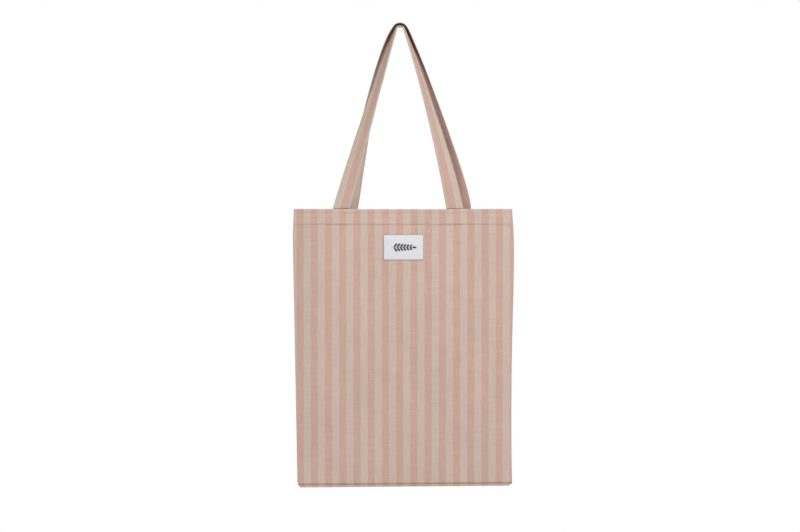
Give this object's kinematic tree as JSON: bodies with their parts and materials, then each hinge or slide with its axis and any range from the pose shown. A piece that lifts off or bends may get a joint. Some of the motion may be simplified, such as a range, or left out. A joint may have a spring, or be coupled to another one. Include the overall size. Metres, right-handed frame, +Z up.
{
  "type": "canvas tote bag",
  "caption": "Flat striped canvas tote bag with a turned hem, a woven label and two long strap handles, hanging by the handles from a peg.",
  "frame": {"origin": "the axis of the peg that the handles hang on, under the middle of the front handle's bend", "axes": "+Z up, +X to the viewer's right, and the front panel with the label faces -Y; the peg runs along Y"},
  "size_m": [0.35, 0.0433, 0.7509],
  "materials": {
    "striped_canvas": "matte cotton canvas, woven pink and beige stripes",
    "strap_canvas": "matte cotton canvas, folded in four layers",
    "sewing_thread": "matte spun cotton thread",
    "woven_label": "woven satin label, white",
    "label_thread": "fine polyester thread, white"
  },
  "bodies": {
    "bag": {"bottom_fold": "striped_canvas", "left_side_seam": "striped_canvas", "right_side_seam": "striped_canvas", "left_seam_overlock": "sewing_thread", "right_seam_overlock": "sewing_thread"},
    "front": {"front_panel": "striped_canvas", "front_hem": "striped_canvas", "front_hem_stitching": "sewing_thread", "front_mouth_stitching": "sewing_thread", "label": "woven_label", "label_stitching": "label_thread", "front_handle_ends": "strap_canvas"},
    "back": {"back_panel": "striped_canvas", "back_hem": "striped_canvas", "back_hem_stitching": "sewing_thread", "back_mouth_stitching": "sewing_thread", "back_handle_ends": "strap_canvas"},
    "front_strap": {"front_handle": "strap_canvas", "front_handle_stitching": "sewing_thread"},
    "back_strap": {"back_handle": "strap_canvas", "back_handle_stitching": "sewing_thread"}
  },
  "joints": [
    {"name": "mouth_front", "type": "hinge", "parent": "bag", "child": "front", "pos_m": [0, 0, -0.741], "axis": [1, 0, 0], "range_deg": [0, 2.5], "stiffness_Nm_per_rad": 1},
    {"name": "mouth_back", "type": "hinge", "parent": "bag", "child": "back", "pos_m": [0, 0, -0.741], "axis": [-1, 0, 0], "range_deg": [0, 2.5], "stiffness_Nm_per_rad": 1},
    {"name": "front_handle_swing", "type": "hinge", "parent": "front", "child": "front_strap", "pos_m": [0, -0.01057, -0.291], "axis": [1, 0, 0], "range_deg": [0, 170]},
    {"name": "back_handle_swing", "type": "hinge", "parent": "back", "child": "back_strap", "pos_m": [0, 0.01057, -0.291], "axis": [-1, 0, 0], "range_deg": [0, 170]}
  ],
  "couplings": [
    {"joint": "mouth_back", "follows": "mouth_front", "ratio": 1}
  ]
}
